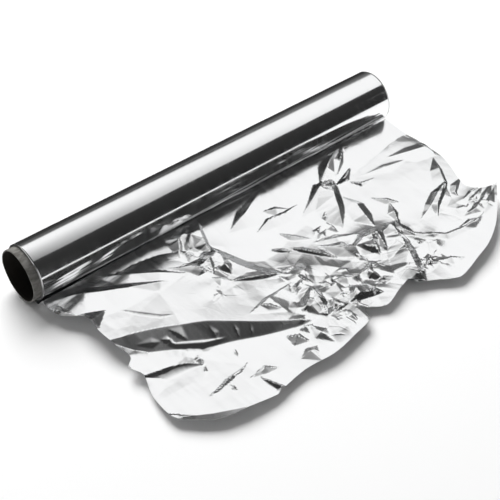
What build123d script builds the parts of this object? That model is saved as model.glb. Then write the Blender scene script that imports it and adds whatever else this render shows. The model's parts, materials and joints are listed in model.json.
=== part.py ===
from build123d import *
from math import atan, cos, pi, sin
from scipy.spatial import Delaunay
import numpy as np
import os

os.makedirs("parts", exist_ok=True)

# Sizes of the roll, in millimetres
foil_width = 300.0
core_bore_diameter = 34.0
core_wall = 1.0
core_reach = 5.5
core_rim_round = 0.3
winding_clearance = 0.05
winding_build = 1.25

# Sizes of the pulled-out length, in millimetres
foil_gauge = 0.3
pulled_length = 168.0
climb_height = 8.5
climb_clearance = 0.15
tallest_fold = 8.5
fold_fade = 12.0

# Sizes of the facets, in millimetres
facet_size = 8.5
crest_spacing = 4.5
rim_spacing = 5.0
least_gap = 2.8
least_area = 0.05

# Slope of the sheet's climb out from under the roll, and the least slope whose foot is a crease
climb_slope = 0.9
gentle_slope = 0.28

# Worked-out radii, and where the flat start of the sheet ends and its climb tops out
core_radius = core_bore_diameter / 2 + core_wall
winding_inner = core_radius + winding_clearance
winding_radius = winding_inner + winding_build
floor = -winding_radius
climb_angle = atan(climb_slope)
climb_reach = winding_radius + foil_gauge + climb_clearance
climb_drop = (winding_radius - climb_reach * cos(climb_angle)) / climb_slope
tail_length = climb_reach * sin(climb_angle) - climb_drop
climb_top = tail_length + climb_height / climb_slope

# Free edge of the sheet drawn from above, from the roll's left end round to its right end
free_edge = [
    (-150, -8), (-150, -32), (-141, -46), (-140, -57), (-140, -74), (-137, -91), (-143, -98),
    (-139, -107), (-144, -123), (-145, -143), (-135, -155), (-122, -163), (-91, -168), (-85, -167),
    (-63, -164), (-42, -166), (-22, -163), (-6, -159), (-3, -152), (5, -150), (13, -156), (30, -151),
    (42, -149), (48, -156), (60, -164), (68, -168), (88, -163), (102, -159), (116, -152), (130, -142),
    (153, -121), (147, -121), (139, -117), (136, -108), (138, -100), (146, -83), (150, -70),
    (152, -51), (152, -37), (150, -8),
]

# Each drawn fold is a crest with a height at each corner, then the slopes on its left and right
drawn_swells = [
    ([(-150, -24, 1), (-147, -34, 2.5), (-141, -48, 4), (-140, -72, 4), (-138, -92, 4),
      (-144, -100, 4)], 0.10, 0.3),
    ([(-143, -110, 4), (-141, -145, 7), (-110, -165, 7), (-88, -169, 5)], 0.10, 0.3),
    ([(-85, -168, 4), (-63, -164, 5), (-42, -167, 6), (-20, -164, 6), (-5, -158, 4)], 0.12, 0.3),
    ([(2, -150, 3), (14, -156, 5), (30, -152, 6), (44, -150, 5)], 0.14, 0.3),
    ([(60, -165, 4), (70, -169, 5), (102, -160, 7), (130, -142, 8), (153, -121, 8.5)], 0.06, 0.3),
    ([(153, -121, 8.5), (150, -75, 6), (152, -45, 3), (151, -20, 0)], 0.06, 0.3),
]
drawn_panels = [
    ([(-140, -70, 1.5), (-132, -74, 4), (-122, -78, 7), (-109, -83, 8.5), (-99, -88.5, 8.5),
      (-84, -95.5, 8.2), (-73, -103.5, 7.5), (-62, -112, 6.5), (-51, -120, 5), (-42.5, -124, 4),
      (-35.5, -130, 0)], 0.08, 0.85),
    ([(-143, -106, 5), (-130, -108, 4.5), (-115, -110.5, 3), (-104, -120, 0)], 0.15, 0.9),
    ([(-140, -57, 4), (-126, -51, 0)], 0.25, 0.8),
    ([(68, -104, 0), (63, -118, 3), (55, -133, 4), (48, -146, 4), (46, -154, 2)], 0.7, 0.3),
    ([(45, -82, 0), (56, -65, 3.2), (67, -48, 3), (80, -37, 0)], 0.22, 0.65),
    ([(-31, -22, 0), (-38, -44, 2.4), (-37, -60, 2.6), (-32, -75, 2), (-21, -89, 1.2),
      (-13, -97, 0)], 0.27, 0.25),
]
drawn_folds = [
    ([(-146, -19, 0), (-128, -31, 2.4), (-105, -43, 1.6), (-78, -55, 0)], 0.35, 0.12),
    ([(-112, -18, 0), (-95, -33, 1.6), (-80, -45, 2), (-66, -54, 0)], 0.5, 0.15),
    ([(-60, -40, 0), (-51, -27, 2), (-34, -19, 0)], 0.2, 0.6),
    ([(-53, -38, 0), (-42, -29, 2.2), (-31, -20, 0)], 0.3, 0.35),
    ([(-41, -48, 0), (-39, -40, 1.8), (-34, -28, 1.5), (-29, -20, 0)], 0.3, 0.8),
    ([(30, -56, 0), (45, -50, 1), (60, -43, 2.2), (75, -40, 0)], 0.45, 0.2),
    ([(60, -42, 0), (76, -32, 2), (92, -22, 1), (102, -17, 0)], 0.4, 0.3),
    ([(71, -46, 0), (82, -45, 1.8), (94, -38, 0)], 0.6, 0.25),
    ([(120, -47, 0), (136, -54, 1.6), (151, -58, 1.6)], 0.3, 0.12),
    ([(-112, -93, 0), (-103, -100, 2), (-93, -109, 0)], 0.5, 0.25),
    ([(-98, -104, 0), (-89, -108, 1.8), (-81, -114, 0)], 0.5, 0.25),
    ([(-122, -146, 0), (-104, -141.5, 1.8), (-83, -137.5, 0)], 0.4, 0.15),
    ([(-95, -149.5, 0), (-84, -150, 2), (-74, -153.5, 0)], 0.45, 0.15),
    ([(-89, -151, 0), (-88, -160, 2.4), (-87.5, -169, 3)], 0.8, 0.2),
    ([(-43, -73, 0), (-42, -64, 1.8), (-37.5, -53, 0)], 0.3, 0.5),
    ([(-72, -43, 0), (-60, -52, 1.4), (-57, -59, 1.4), (-55, -62, 0)], 0.6, 0.3),
    ([(-49, -77, 0), (-38, -82, 2.3), (-28, -87, 2), (-18, -92, 0)], 0.3, 0.95),
    ([(-8, -67, 0), (-2, -74, 2.2), (0, -79, 0)], 0.7, 0.22),
    ([(4, -74, 0), (8, -82, 2.4), (12, -90, 2.2), (15, -96, 0)], 0.7, 0.22),
    ([(-5, -51, 0), (10, -46.5, 1.2), (24, -47.5, 1.2), (38, -45, 0)], 0.55, 0.2),
    ([(20, -80, 0), (34, -88, 1.8), (48, -95, 0)], 0.4, 0.2),
    ([(20, -85, 0), (29, -96, 2.2), (35, -104, 2), (45, -101, 1.4), (55, -97, 0)], 0.5, 0.3),
    ([(-60, -109, 0), (-42, -106.5, 1.9), (-19, -102.5, 0)], 0.6, 0.15),
    ([(-17, -105, 0), (-15, -116, 2.6), (-20, -131, 2.8), (-25, -142, 0)], 0.8, 0.25),
    ([(-34, -129, 0), (-24, -124, 1.6), (-14, -115, 0)], 0.3, 0.6),
    ([(2, -118, 0), (9, -123, 1.8), (18, -126, 0)], 0.5, 0.2),
    ([(0, -127, 0), (7, -134, 3), (13, -140, 0)], 0.7, 0.22),
    ([(14, -133, 0), (24, -127.5, 2.4), (34, -120, 0)], 0.3, 0.45),
    ([(26, -122, 0), (26, -130, 2.4), (27, -138, 0)], 0.6, 0.3),
    ([(-6, -140.5, 0), (4, -140.5, 3.2), (12, -142, 3.2), (19, -147, 0)], 0.25, 0.9),
    ([(-54, -136, 0), (-50, -142, 2.8), (-46, -149, 0)], 0.6, 0.3),
    ([(67, -58, 0), (67, -72, 1.8), (63, -84, 1.8), (60, -97, 0)], 0.4, 0.25),
    ([(79, -73, 0), (82, -82, 1.8), (80, -92, 0)], 0.45, 0.25),
    ([(76, -97, 0), (83, -92, 2), (91, -87, 0)], 0.3, 0.6),
    ([(52, -97, 0), (47, -108, 2.4), (43, -120, 0)], 0.7, 0.25),
    ([(57, -92, 0), (54, -105, 2.2), (49, -121, 0)], 0.6, 0.3),
    ([(56, -106, 0), (67, -104, 2.2), (78, -102, 0)], 0.6, 0.25),
    ([(144, -70, 0), (136, -83, 1.6), (127, -96, 2), (121, -101, 1.6), (106, -110, 1.2),
      (97, -119, 0)], 0.9, 0.15),
    ([(110, -129, 0), (121, -131, 1.2), (136, -126, 1.2), (150, -119, 0)], 0.4, 0.3),
]

# The climb's top line from end to end: where a stretch starts and stops in shares of half the width, its
# height at both ends in shares of the climb, and its slope down to the table
drawn_climbs = [
    (-1.0, -0.4, 0.75, 1.0, 0.17),
    (-0.44, -0.03, 0.9, 1.0, 0.11),
    (0.0, 0.53, 1.0, 1.0, 0.17),
    (0.5, 1.0, 1.0, 0.82, 0.21),
]

# How the drawing is stretched to the sizes wanted
drawn_width = free_edge[-1][0] - free_edge[0][0]
drawn_tail = -free_edge[0][1]
drawn_length = -min(y for x, y in free_edge)
drawn_tallest = max(height for crest, left, right in drawn_panels for x, y, height in crest)
across = foil_width / drawn_width
outward = (pulled_length - tail_length) / (drawn_length - drawn_tail)
upward = tallest_fold / drawn_tallest


def placed(x, y):
    """Place on the table of a point of the drawing."""
    return x * across, (y + drawn_tail) * outward - tail_length


def along_line(corners, spacing):
    """Corners of a line with points between them no further apart than the spacing."""
    points = []
    for (ax, ay), (bx, by) in zip(corners[:-1], corners[1:]):
        steps = max(1, int(np.ceil(np.hypot(bx - ax, by - ay) / spacing)))
        points += [(ax + (bx - ax) * i / steps, ay + (by - ay) * i / steps) for i in range(steps)]
    return points + [corners[-1]]


class Fold:
    """One fold of the sheet: a crest line with a height at each corner and a slope on each side."""

    def __init__(self, crest, left, right):
        self.crest = crest
        self.left = left
        self.right = right

    @classmethod
    def drawn(cls, crest, left, right):
        """The fold that a drawn one becomes at the sizes wanted."""
        return cls([(*placed(x, y), height * upward) for x, y, height in crest], left, right)

    def lift(self, x, y):
        """Height of this fold over each point, zero beyond its feet."""
        total = np.zeros_like(x)
        for (ax, ay, ah), (bx, by, bh) in zip(self.crest[:-1], self.crest[1:]):
            dx = bx - ax
            dy = by - ay
            along = np.clip(((x - ax) * dx + (y - ay) * dy) / (dx * dx + dy * dy), 0, 1)
            off_x = x - ax - along * dx
            off_y = y - ay - along * dy
            side = np.where(dx * off_y - dy * off_x > 0, self.left, self.right)
            total = np.maximum(total, ah + (bh - ah) * along - side * np.hypot(off_x, off_y))
        return total

    def crest_points(self):
        """Points along the crest, where its two sides meet."""
        return along_line([(x, y) for x, y, height in self.crest], crest_spacing)

    def foot_points(self):
        """Points along the foot of each steep side, where it meets the sheet around it."""
        points = []
        for (ax, ay, ah), (bx, by, bh) in zip(self.crest[:-1], self.crest[1:]):
            length = np.hypot(bx - ax, by - ay)
            for along in np.arange(0, 1, crest_spacing / length):
                height = ah + along * (bh - ah)
                for slope, side in ((self.left, 1), (self.right, -1)):
                    if slope > gentle_slope:
                        reach = side * height / slope / length
                        x = ax + along * (bx - ax) - reach * (by - ay)
                        y = ay + along * (by - ay) + reach * (bx - ax)
                        points.append((x, y))
        return points


# Broad swells that lift the free edge, large folds that part the sheet into panels, and smaller ones
swells = [Fold.drawn(*swell) for swell in drawn_swells]
panel_folds = [Fold.drawn(*fold) for fold in drawn_panels]
small_folds = [Fold.drawn(*fold) for fold in drawn_folds]
climbs = []
for start, stop, first, last, fall in drawn_climbs:
    climb_start = (start * foil_width / 2, -climb_top, first * climb_height)
    climb_stop = (stop * foil_width / 2, -climb_top, last * climb_height)
    climbs.append(Fold([climb_start, climb_stop], climb_slope, fall))


def sheet_lift(x, y):
    """Height of the sheet over the table: the higher of its climb and its swells, with the folds on top."""
    past = np.clip(-climb_top - y, 0, None)
    climb = np.max([fold.lift(x, y) for fold in climbs], axis=0)
    broad = np.max([fold.lift(x, y) for fold in swells], axis=0)
    broad = broad + sum(fold.lift(x, y) for fold in panel_folds)
    small = sum(fold.lift(x, y) for fold in small_folds)
    return np.where(past > 0, np.maximum(climb, broad), climb) + small * np.clip(past / fold_fade, 0, 1)


def inside(points, ring):
    """True for each point that lies within the ring."""
    result = np.zeros(len(points), dtype=bool)
    for (ax, ay), (bx, by) in zip(ring, np.roll(ring, -1, axis=0)):
        crosses = (points[:, 1] < ay) != (points[:, 1] < by)
        at = ax + (points[:, 1] - ay) * (bx - ax) / (by - ay if by != ay else 1.0)
        result ^= crosses & (points[:, 0] < at)
    return result


def sheet_points():
    """Corners of the facets seen from above: the rim, then crests, feet and a staggered lattice."""
    edge = [placed(x, y) for x, y in free_edge]
    hem = along_line([edge[-1], edge[0]], 2 * rim_spacing)
    rim = np.array(along_line(edge, rim_spacing) + hem[1:-1], dtype=float)
    folds = panel_folds + small_folds
    wanted = [point for fold in climbs + folds for point in fold.crest_points()]
    wanted += [point for fold in folds for point in fold.foot_points()]
    for row, y in enumerate(np.arange(-tail_length - rim_spacing, -pulled_length, -facet_size * sin(pi / 3))):
        start = -foil_width / 2 + facet_size / 2 * (row % 2)
        wanted += [(x, y) for x in np.arange(start, foil_width / 2 + facet_size, facet_size)]
    wanted = np.array(wanted)
    chosen = rim
    for point in wanted[inside(wanted, rim)]:
        if np.hypot(*(chosen - point).T).min() > least_gap:
            chosen = np.vstack([chosen, point])
    return chosen, rim


def crumpled_sheet():
    """The crumpled length as one closed faceted solid of even thickness."""
    flat, rim = sheet_points()
    triangles = Delaunay(flat).simplices
    corners = flat[triangles]
    (ax, ay), (bx, by) = (corners[:, 1] - corners[:, 0]).T, (corners[:, 2] - corners[:, 0]).T
    within = inside(corners.mean(axis=1), rim)
    triangles = triangles[within & (np.abs(ax * by - ay * bx) / 2 > least_area)]
    low = floor + sheet_lift(flat[:, 0], flat[:, 1])
    under = [Vector(x, y, z) for (x, y), z in zip(flat, low)]
    upper = [Vector(x, y, z) for (x, y), z in zip(flat, low + foil_gauge)]
    faces = []
    edges = set()
    for i, j, k in triangles:
        faces.append(Face(Wire.make_polygon([upper[i], upper[j], upper[k]])))
        faces.append(Face(Wire.make_polygon([under[k], under[j], under[i]])))
        edges.update([(i, j), (j, k), (k, i)])
    for start, end in edges:
        if (end, start) not in edges:
            faces.append(Face(Wire.make_polygon([under[start], under[end], upper[end], upper[start]])))
    return Solid(Shell(faces))


# Cardboard core, standing out of the winding at its left end only
with BuildPart() as cardboard_core:
    with BuildSketch(Plane.YZ.offset(-foil_width / 2 - core_reach)):
        Circle(core_radius)
        Circle(core_bore_diameter / 2, mode=Mode.SUBTRACT)
    extrude(amount=foil_width + core_reach)
    fillet(cardboard_core.edges().filter_by(GeomType.CIRCLE).sort_by(SortBy.RADIUS)[-2:], core_rim_round)
cardboard_core.part.label = "cardboard_core"

# Foil, one sheet: its turns round the core, the flat start of the pulled-out length and its crumpled rest
with BuildPart() as foil:
    with BuildSketch(Plane.YZ):
        Circle(winding_radius)
        with Locations((-tail_length / 2, floor + foil_gauge / 2)):
            Rectangle(tail_length, foil_gauge)
        Circle(winding_inner, mode=Mode.SUBTRACT)
    extrude(amount=foil_width / 2, both=True)
    add(crumpled_sheet())
foil.part.label = "foil"

export_step(cardboard_core.part, "parts/cardboard_core.step")
export_step(foil.part, "parts/foil.step")
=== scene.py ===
"""Roll of aluminium foil on a cardboard core, with a crumpled length pulled out in front of it.

Lengths are metres in the part's own frame: X runs along the core, Z is up, and the pulled-out foil
lies towards -Y on the table. Folds and outlines are drawn from above in millimetres and say so.
"""

import json
import logging
from dataclasses import dataclass, field, replace
from enum import Enum

import bpy
import numpy as np
from bpy.types import ID, Material, Node, NodeSocket, NodeTree, Object
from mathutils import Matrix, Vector
from numpy import ndarray as Array


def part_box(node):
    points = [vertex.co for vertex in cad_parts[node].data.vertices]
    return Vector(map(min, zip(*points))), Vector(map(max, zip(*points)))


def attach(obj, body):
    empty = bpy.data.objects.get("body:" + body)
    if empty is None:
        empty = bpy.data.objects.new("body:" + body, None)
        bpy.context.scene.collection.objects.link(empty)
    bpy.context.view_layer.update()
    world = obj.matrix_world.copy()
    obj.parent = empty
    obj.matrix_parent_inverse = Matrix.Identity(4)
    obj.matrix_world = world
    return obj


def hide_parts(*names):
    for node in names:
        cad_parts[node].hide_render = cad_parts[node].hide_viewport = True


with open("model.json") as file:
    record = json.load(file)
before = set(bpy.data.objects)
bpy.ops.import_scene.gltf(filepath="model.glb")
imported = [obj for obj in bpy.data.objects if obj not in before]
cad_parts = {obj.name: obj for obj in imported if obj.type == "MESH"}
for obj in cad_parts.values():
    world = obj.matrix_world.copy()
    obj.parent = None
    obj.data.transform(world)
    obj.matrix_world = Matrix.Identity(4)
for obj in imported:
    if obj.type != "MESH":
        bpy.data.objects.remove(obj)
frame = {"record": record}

Colour = tuple[float, float, float, float]
Place = tuple[float, float, float]
Feeds = dict[str | int, object]

LOG = logging.getLogger("foil_roll")
MM = 0.001
BODY = "root"
WINDING_GAP = 0.05 * MM
TABLE_GAP = 0.02 * MM


class Slot(str, Enum):
    """Material slots of the record."""

    BOARD = "cardboard"
    FOIL = "foil"


class Wrap(Enum):
    """Which ways of a grid close on themselves."""

    NONE = (False, False)
    BOTH = (True, True)


# Mesh building

def grid_ring(number: Array) -> Array:
    """Numbers round the border of a grid of corner numbers, in order and each once."""
    return np.concatenate([number[0, :-1], number[:-1, -1], number[-1, :0:-1], number[:0:-1, 0]])


def grid_faces(rows: int, columns: int, wrap: Wrap) -> Array:
    """Four corner numbers for each cell of a grid.

    Args:
        rows: Number of grid rows.
        columns: Number of grid columns.
        wrap: Which ways the grid closes on itself.

    Returns:
        An array with one row of four corner numbers per cell.
    """
    wrap_rows, wrap_columns = wrap.value
    row = np.arange(rows if wrap_rows else rows - 1)[:, None]
    column = np.arange(columns if wrap_columns else columns - 1)[None, :]
    next_row = (row + 1) % rows
    next_column = (column + 1) % columns
    corners = [row * columns + column, row * columns + next_column,
               next_row * columns + next_column, next_row * columns + column]
    return np.stack([corner.ravel() for corner in np.broadcast_arrays(*corners)], axis=1)


def new_piece(name: str, points: Array, faces: list[list[int]]) -> Object:
    """Make a smooth-shaded mesh object at the origin.

    Args:
        name: Name of the piece.
        points: Corner positions in metres.
        faces: Corner numbers of each face.

    Returns:
        The new object, linked to the scene.
    """
    mesh = bpy.data.meshes.new(name)
    mesh.from_pydata(points.reshape(-1, 3).tolist(), [], faces)
    mesh.polygons.foreach_set("use_smooth", np.ones(len(faces), dtype=bool))
    mesh.update()
    piece = bpy.data.objects.new(name, mesh)
    bpy.context.scene.collection.objects.link(piece)
    return piece


def carry_round(profile: Array, around: int) -> tuple[Array, Array, Array]:
    """Carry an outline round the axis.

    Args:
        profile: Outline as (along the axis, from the axis) pairs.
        around: Number of steps round the axis.

    Returns:
        The turn of each step, and grids of x and of r with one row per pair.
    """
    angle = np.linspace(0.0, 2 * np.pi, around, endpoint=False)[None, :]
    return angle, np.repeat(profile[:, :1], around, axis=1), np.repeat(profile[:, 1:], around, axis=1)


def round_piece(name: str, angle: Array, x: Array, r: Array) -> Object:
    """Make a piece that closes on itself both ways, with its points at (x, r sin a, r cos a).

    Args:
        name: Name of the piece.
        angle: Turn of each point.
        x: Place of each point along the axis.
        r: Distance of each point from the axis.

    Returns:
        The new piece.
    """
    points = np.stack([x, r * np.sin(angle), r * np.cos(angle)], axis=-1)
    return new_piece(name, points, grid_faces(*points.shape[:2], Wrap.BOTH).tolist())


def paint_points(piece: Object, name: str, values: Array) -> None:
    """Store one number per corner as a named attribute that materials can read.

    Args:
        piece: The object to paint.
        name: Name of the attribute.
        values: One number per corner.
    """
    attribute = piece.data.attributes.new(name, "FLOAT", "POINT")
    attribute.data.foreach_set("value", np.ascontiguousarray(values.ravel(), dtype=np.float32))


def ease(value: Array) -> Array:
    """Smooth step: three times the square less twice the cube, of the value held to 0 to 1."""
    held = np.clip(value, 0.0, 1.0)
    return held * held * (3.0 - 2.0 * held)


def smooth_line(corners: Array, steps: int) -> Array:
    """Smooth curve through a line of corners: between two corners, the cubic whose slope at each
    corner is half the step from the corner before it to the corner after it.

    Args:
        corners: One row per corner.
        steps: Number of points from one corner to the next.

    Returns:
        One row per point, with the first and the last corner among them.
    """
    line = np.concatenate([2 * corners[:1] - corners[1:2], corners, 2 * corners[-1:] - corners[-2:-1]])
    before, start, end, after = line[:-3], line[1:-2], line[2:-1], line[3:]
    t = (np.arange(steps) / steps)[:, None, None]
    curve = 0.5 * (2 * start + (end - before) * t + (2 * before - 5 * start + 4 * end - after) * t ** 2
                   + (3 * start - before - 3 * end + after) * t ** 3)
    return np.concatenate([curve.transpose(1, 0, 2).reshape(-1, corners.shape[1]), corners[-1:]])


# Finishes

@dataclass
class NodeBench:
    """A node tree with short calls to place nodes and to feed them."""

    tree: NodeTree

    def place(self, kind: str, feeds: Feeds | None = None, **settings: object) -> Node:
        """Add a node, set its properties and feed its inputs.

        Args:
            kind: Blender's name for the node type, less the ShaderNode that it starts with.
            feeds: What the node's inputs get.
            **settings: Properties of the node.

        Returns:
            The new node.
        """
        node = self.tree.nodes.new("ShaderNode" + kind)
        for key, value in settings.items():
            setattr(node, key, value)
        self.feed(node, feeds or {})
        return node

    def feed(self, node: Node, feeds: Feeds) -> None:
        """Join sockets to a node's inputs, and set those inputs that get a constant.

        Args:
            node: The node to feed.
            feeds: A socket or a constant for each input, by its name or number.
        """
        for key, value in feeds.items():
            if isinstance(value, NodeSocket):
                self.tree.links.new(value, node.inputs[key])
            else:
                node.inputs[key].default_value = value


def material_bench(name: str) -> tuple[Material, NodeBench, Node]:
    """Start a node material.

    Args:
        name: Name of the material.

    Returns:
        The material, its bench and its Principled shader.
    """
    material = bpy.data.materials.new(name)
    material.use_nodes = True
    return material, NodeBench(material.node_tree), material.node_tree.nodes["Principled BSDF"]


def group_bench(name: str, outputs: tuple[str, ...]) -> tuple[NodeBench, Feeds, Node]:
    """Start a shared node group with a Vector and a Scale coming in.

    Args:
        name: Name of the group.
        outputs: Names of the values going out.

    Returns:
        The group's bench, what its textures are fed, and the node that its values leave by.
    """
    group = bpy.data.node_groups.new(name, "ShaderNodeTree")
    group.interface.new_socket("Vector", in_out="INPUT", socket_type="NodeSocketVector")
    group.interface.new_socket("Scale", in_out="INPUT", socket_type="NodeSocketFloat")
    for output in outputs:
        group.interface.new_socket(output, in_out="OUTPUT", socket_type="NodeSocketFloat")
    entry, leave = group.nodes.new("NodeGroupInput").outputs, group.nodes.new("NodeGroupOutput")
    return NodeBench(group), {key: entry[key] for key in ("Vector", "Scale")}, leave


def grain_group() -> NodeTree:
    """Build the shared surface grain: soft noise, stretched by the vector that comes in.

    Returns:
        A node group with a Height and a Mask from 0 to 1 going out.
    """
    bench, entry, leave = group_bench("surface_grain", ("Height", "Mask"))
    noise = bench.place("TexNoise", {**entry, "Detail": 4.0, "Roughness": 0.6}).outputs["Fac"]
    spread = bench.place("MapRange", {"Value": noise, "From Min": 0.35, "From Max": 0.65})
    bench.feed(leave, {"Height": noise, "Mask": spread.outputs["Result"]})
    return bench.tree


def crease_group() -> NodeTree:
    """Build the fine creases: thin straight ridges along the borders of chance cells, with gaps.

    Returns:
        A node group with a Height from 0 to 1 going out.
    """
    bench, entry, leave = group_bench("fine_creases", ("Height",))
    cells = bench.place("TexVoronoi", entry, feature="DISTANCE_TO_EDGE").outputs["Distance"]
    line = bench.place("MapRange", {"Value": cells, "From Max": 0.05, "To Min": 1.0, "To Max": 0.0})
    blotch = bench.place("TexNoise", entry).outputs["Fac"]
    gaps = bench.place("MapRange", {"Value": blotch, "From Min": 0.46, "From Max": 0.60})
    height = bench.place("Math", {0: line.outputs["Result"], 1: gaps.outputs["Result"]},
                         operation="MULTIPLY")
    bench.feed(leave, {"Height": height.outputs["Value"]})
    return bench.tree


@dataclass(frozen=True)
class FoilFinish:
    """Bright rolled aluminium: a clear mirror with faint rolling lines, fine creases where it is
    crushed and darker, rougher cut edges."""

    name: str
    colour: Colour = (0.93, 0.935, 0.94, 1.0)
    clear_roughness: float = 0.08
    dull_roughness: float = 0.15
    edge_colour: Colour = (0.30, 0.30, 0.30, 1.0)
    edge_roughness: float = 0.4
    line_scale: float = 60.0
    line_stretch: Place = (6.0, 0.4, 0.4)
    line_depth: float = 0.00002
    crease_scale: float = 70.0
    crease_depth: float = 0.00008

    def material(self, grain: NodeTree, creases: NodeTree) -> Material:
        """Make the foil material.

        Args:
            grain: The shared grain group.
            creases: The group of fine creases.

        Returns:
            The new material.
        """
        material, bench, shader = material_bench(self.name)
        spot = bench.place("TexCoord").outputs["Object"]
        edge, crushed = (bench.place("Attribute", attribute_name=name).outputs["Fac"]
                         for name in ("cut_edge", "creased"))
        tone = bench.place("Mix", {"Factor": edge, "A": self.colour, "B": self.edge_colour},
                           data_type="RGBA")
        along = bench.place("Mapping", {"Vector": spot, "Scale": self.line_stretch}).outputs["Vector"]
        lines = bench.place("Group", {"Vector": along, "Scale": self.line_scale}, node_tree=grain).outputs
        gloss = bench.place("MapRange", {"Value": lines["Mask"], "To Min": self.clear_roughness,
                                         "To Max": self.dull_roughness}).outputs["Result"]
        rough = bench.place("Math", {0: edge, 1: self.edge_roughness, 2: gloss}, operation="MULTIPLY_ADD")
        ridge = bench.place("Bump", {"Height": lines["Height"], "Distance": self.line_depth})
        folds = bench.place("Group", {"Vector": spot, "Scale": self.crease_scale}, node_tree=creases)
        kept = bench.place("Math", {0: folds.outputs["Height"], 1: crushed}, operation="MULTIPLY")
        bump = bench.place("Bump", {"Height": kept.outputs["Value"], "Distance": self.crease_depth,
                                    "Normal": ridge.outputs["Normal"]})
        bench.feed(shader, {"Base Color": tone.outputs["Result"], "Metallic": 1.0,
                            "Roughness": rough.outputs["Value"], "Normal": bump.outputs["Normal"]})
        return material


@dataclass(frozen=True)
class BoardFinish:
    """Plain grey-brown wound board: matt, with long fibres, paler specks and a darker spiral seam,
    with shade painted near black over the inside of the bore."""

    name: str = "wound_board"
    dark: Colour = (0.12, 0.115, 0.105, 1.0)
    light: Colour = (0.25, 0.245, 0.23, 1.0)
    seam: Colour = (0.05, 0.046, 0.04, 1.0)
    # Near-black colour painted over the tube's inside: painted shade of the deep bore, not the board's own
    # colour
    bore: Colour = (0.016, 0.013, 0.009, 1.0)
    roughness: float = 0.85
    sheen: float = 0.25
    fibre_scale: float = 420.0
    fibre_stretch: Place = (0.35, 1.0, 1.0)
    fibre_depth: float = 0.00012

    def material(self, grain: NodeTree) -> Material:
        """Make the board material.

        Args:
            grain: The shared grain group.

        Returns:
            The new material.
        """
        material, bench, shader = material_bench(self.name)
        spot = bench.place("TexCoord").outputs["Object"]
        along = bench.place("Mapping", {"Vector": spot, "Scale": self.fibre_stretch}).outputs["Vector"]
        fibre = bench.place("Group", {"Vector": along, "Scale": self.fibre_scale}, node_tree=grain).outputs
        seam, bore = (bench.place("Attribute", attribute_name=name).outputs["Fac"]
                      for name in ("seam", "bore"))
        tone = self.dark
        # The bore mask lays the painted shade over the whole inside of the tube
        for mask, colour in ((fibre["Mask"], self.light), (seam, self.seam), (bore, self.bore)):
            mix = bench.place("Mix", {"Factor": mask, "A": tone, "B": colour}, data_type="RGBA")
            tone = mix.outputs["Result"]
        bump = bench.place("Bump", {"Height": fibre["Height"], "Distance": self.fibre_depth})
        bench.feed(shader, {"Base Color": tone, "Roughness": self.roughness,
                            "Specular IOR Level": self.sheen, "Normal": bump.outputs["Normal"]})
        return material


# Cardboard core

@dataclass
class CardboardCore:
    """Spiral-wound board tube, standing out of the winding at its left end."""

    left: float
    right: float
    radius: float
    bore_radius: float
    rim_round: float = 0.3 * MM
    rim_steps: int = 5
    rim_wave: float = 0.10 * MM
    rim_wave_parts: tuple[Place, ...] = ((3, 0.6, 1.0), (7, 0.0, 0.5))
    rim_wave_reach: float = 3.0 * MM
    seam_pitch: float = 62.0 * MM
    seam_width: float = 0.012
    seam_depth: float = 0.12 * MM
    around: int = 160
    along: int = 200

    def profile(self) -> Array:
        """Closed outline of the tube's wall as (along the axis, from the axis).

        Four straight runs, along the outside, across one end, along the bore and across the other end,
        with each corner a quarter circle of the rim's radius.

        Returns:
            An array of (x, r) pairs.
        """
        r = self.rim_round
        turn = np.linspace(0.0, np.pi / 2, self.rim_steps)
        run = np.linspace(self.left + r, self.right - r, self.along)
        corners = []
        for x, radius, start in ((self.right - r, self.radius - r, np.pi / 2),
                                 (self.right - r, self.bore_radius + r, 0.0),
                                 (self.left + r, self.bore_radius + r, -np.pi / 2),
                                 (self.left + r, self.radius - r, -np.pi)):
            angle = start - turn
            corners.append(np.stack([x + r * np.cos(angle), radius + r * np.sin(angle)], axis=1))
        outside = np.stack([run, np.full_like(run, self.radius)], axis=1)[1:-1]
        bore = np.stack([run[::-1], np.full_like(run, self.bore_radius)], axis=1)[1:-1]
        return np.concatenate([outside, *corners[:2], bore, *corners[2:]])

    def build(self) -> Object:
        """Carry the wall's outline round the axis, with a shallow spiral groove and an uneven cut.

        A point is (x, r sin a, r cos a). The groove lowers r where the turn a, less x over the pitch,
        is near a whole turn. Each end's cut moves along x by a sum of small waves of a, each with its
        number of turns, its start and its share.

        Returns:
            The new piece.
        """
        angle, x, r = carry_round(self.profile(), self.around)
        phase = (angle / (2 * np.pi) - x / self.seam_pitch) % 1.0
        seam = np.exp(-((np.minimum(phase, 1.0 - phase) / self.seam_width) ** 2))
        outside = np.where(r > (self.radius + self.bore_radius) / 2, -1.0, 1.0)
        r = r + outside * seam * self.seam_depth
        near_end = ease(1.0 - np.minimum(x - self.left, self.right - x) / self.rim_wave_reach)
        wave = sum(share * np.sin(turns * angle + start) for turns, start, share in self.rim_wave_parts)
        x = x + near_end * self.rim_wave * wave
        piece = round_piece("cardboard_core_tube", angle, x, r)
        paint_points(piece, "seam", seam)
        # Mark the inside of the bore, where the board material paints shade
        paint_points(piece, "bore", r < self.bore_radius + self.rim_round * 0.5)
        return piece

    def dress(self, piece: Object, board: Material) -> None:
        """Give the tube its finish and let it stand for the CAD node.

        Args:
            piece: The tube.
            board: The board material.
        """
        piece.data.materials.append(board)
        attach(piece, BODY)
        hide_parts("cardboard_core")


# Wound foil

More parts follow.
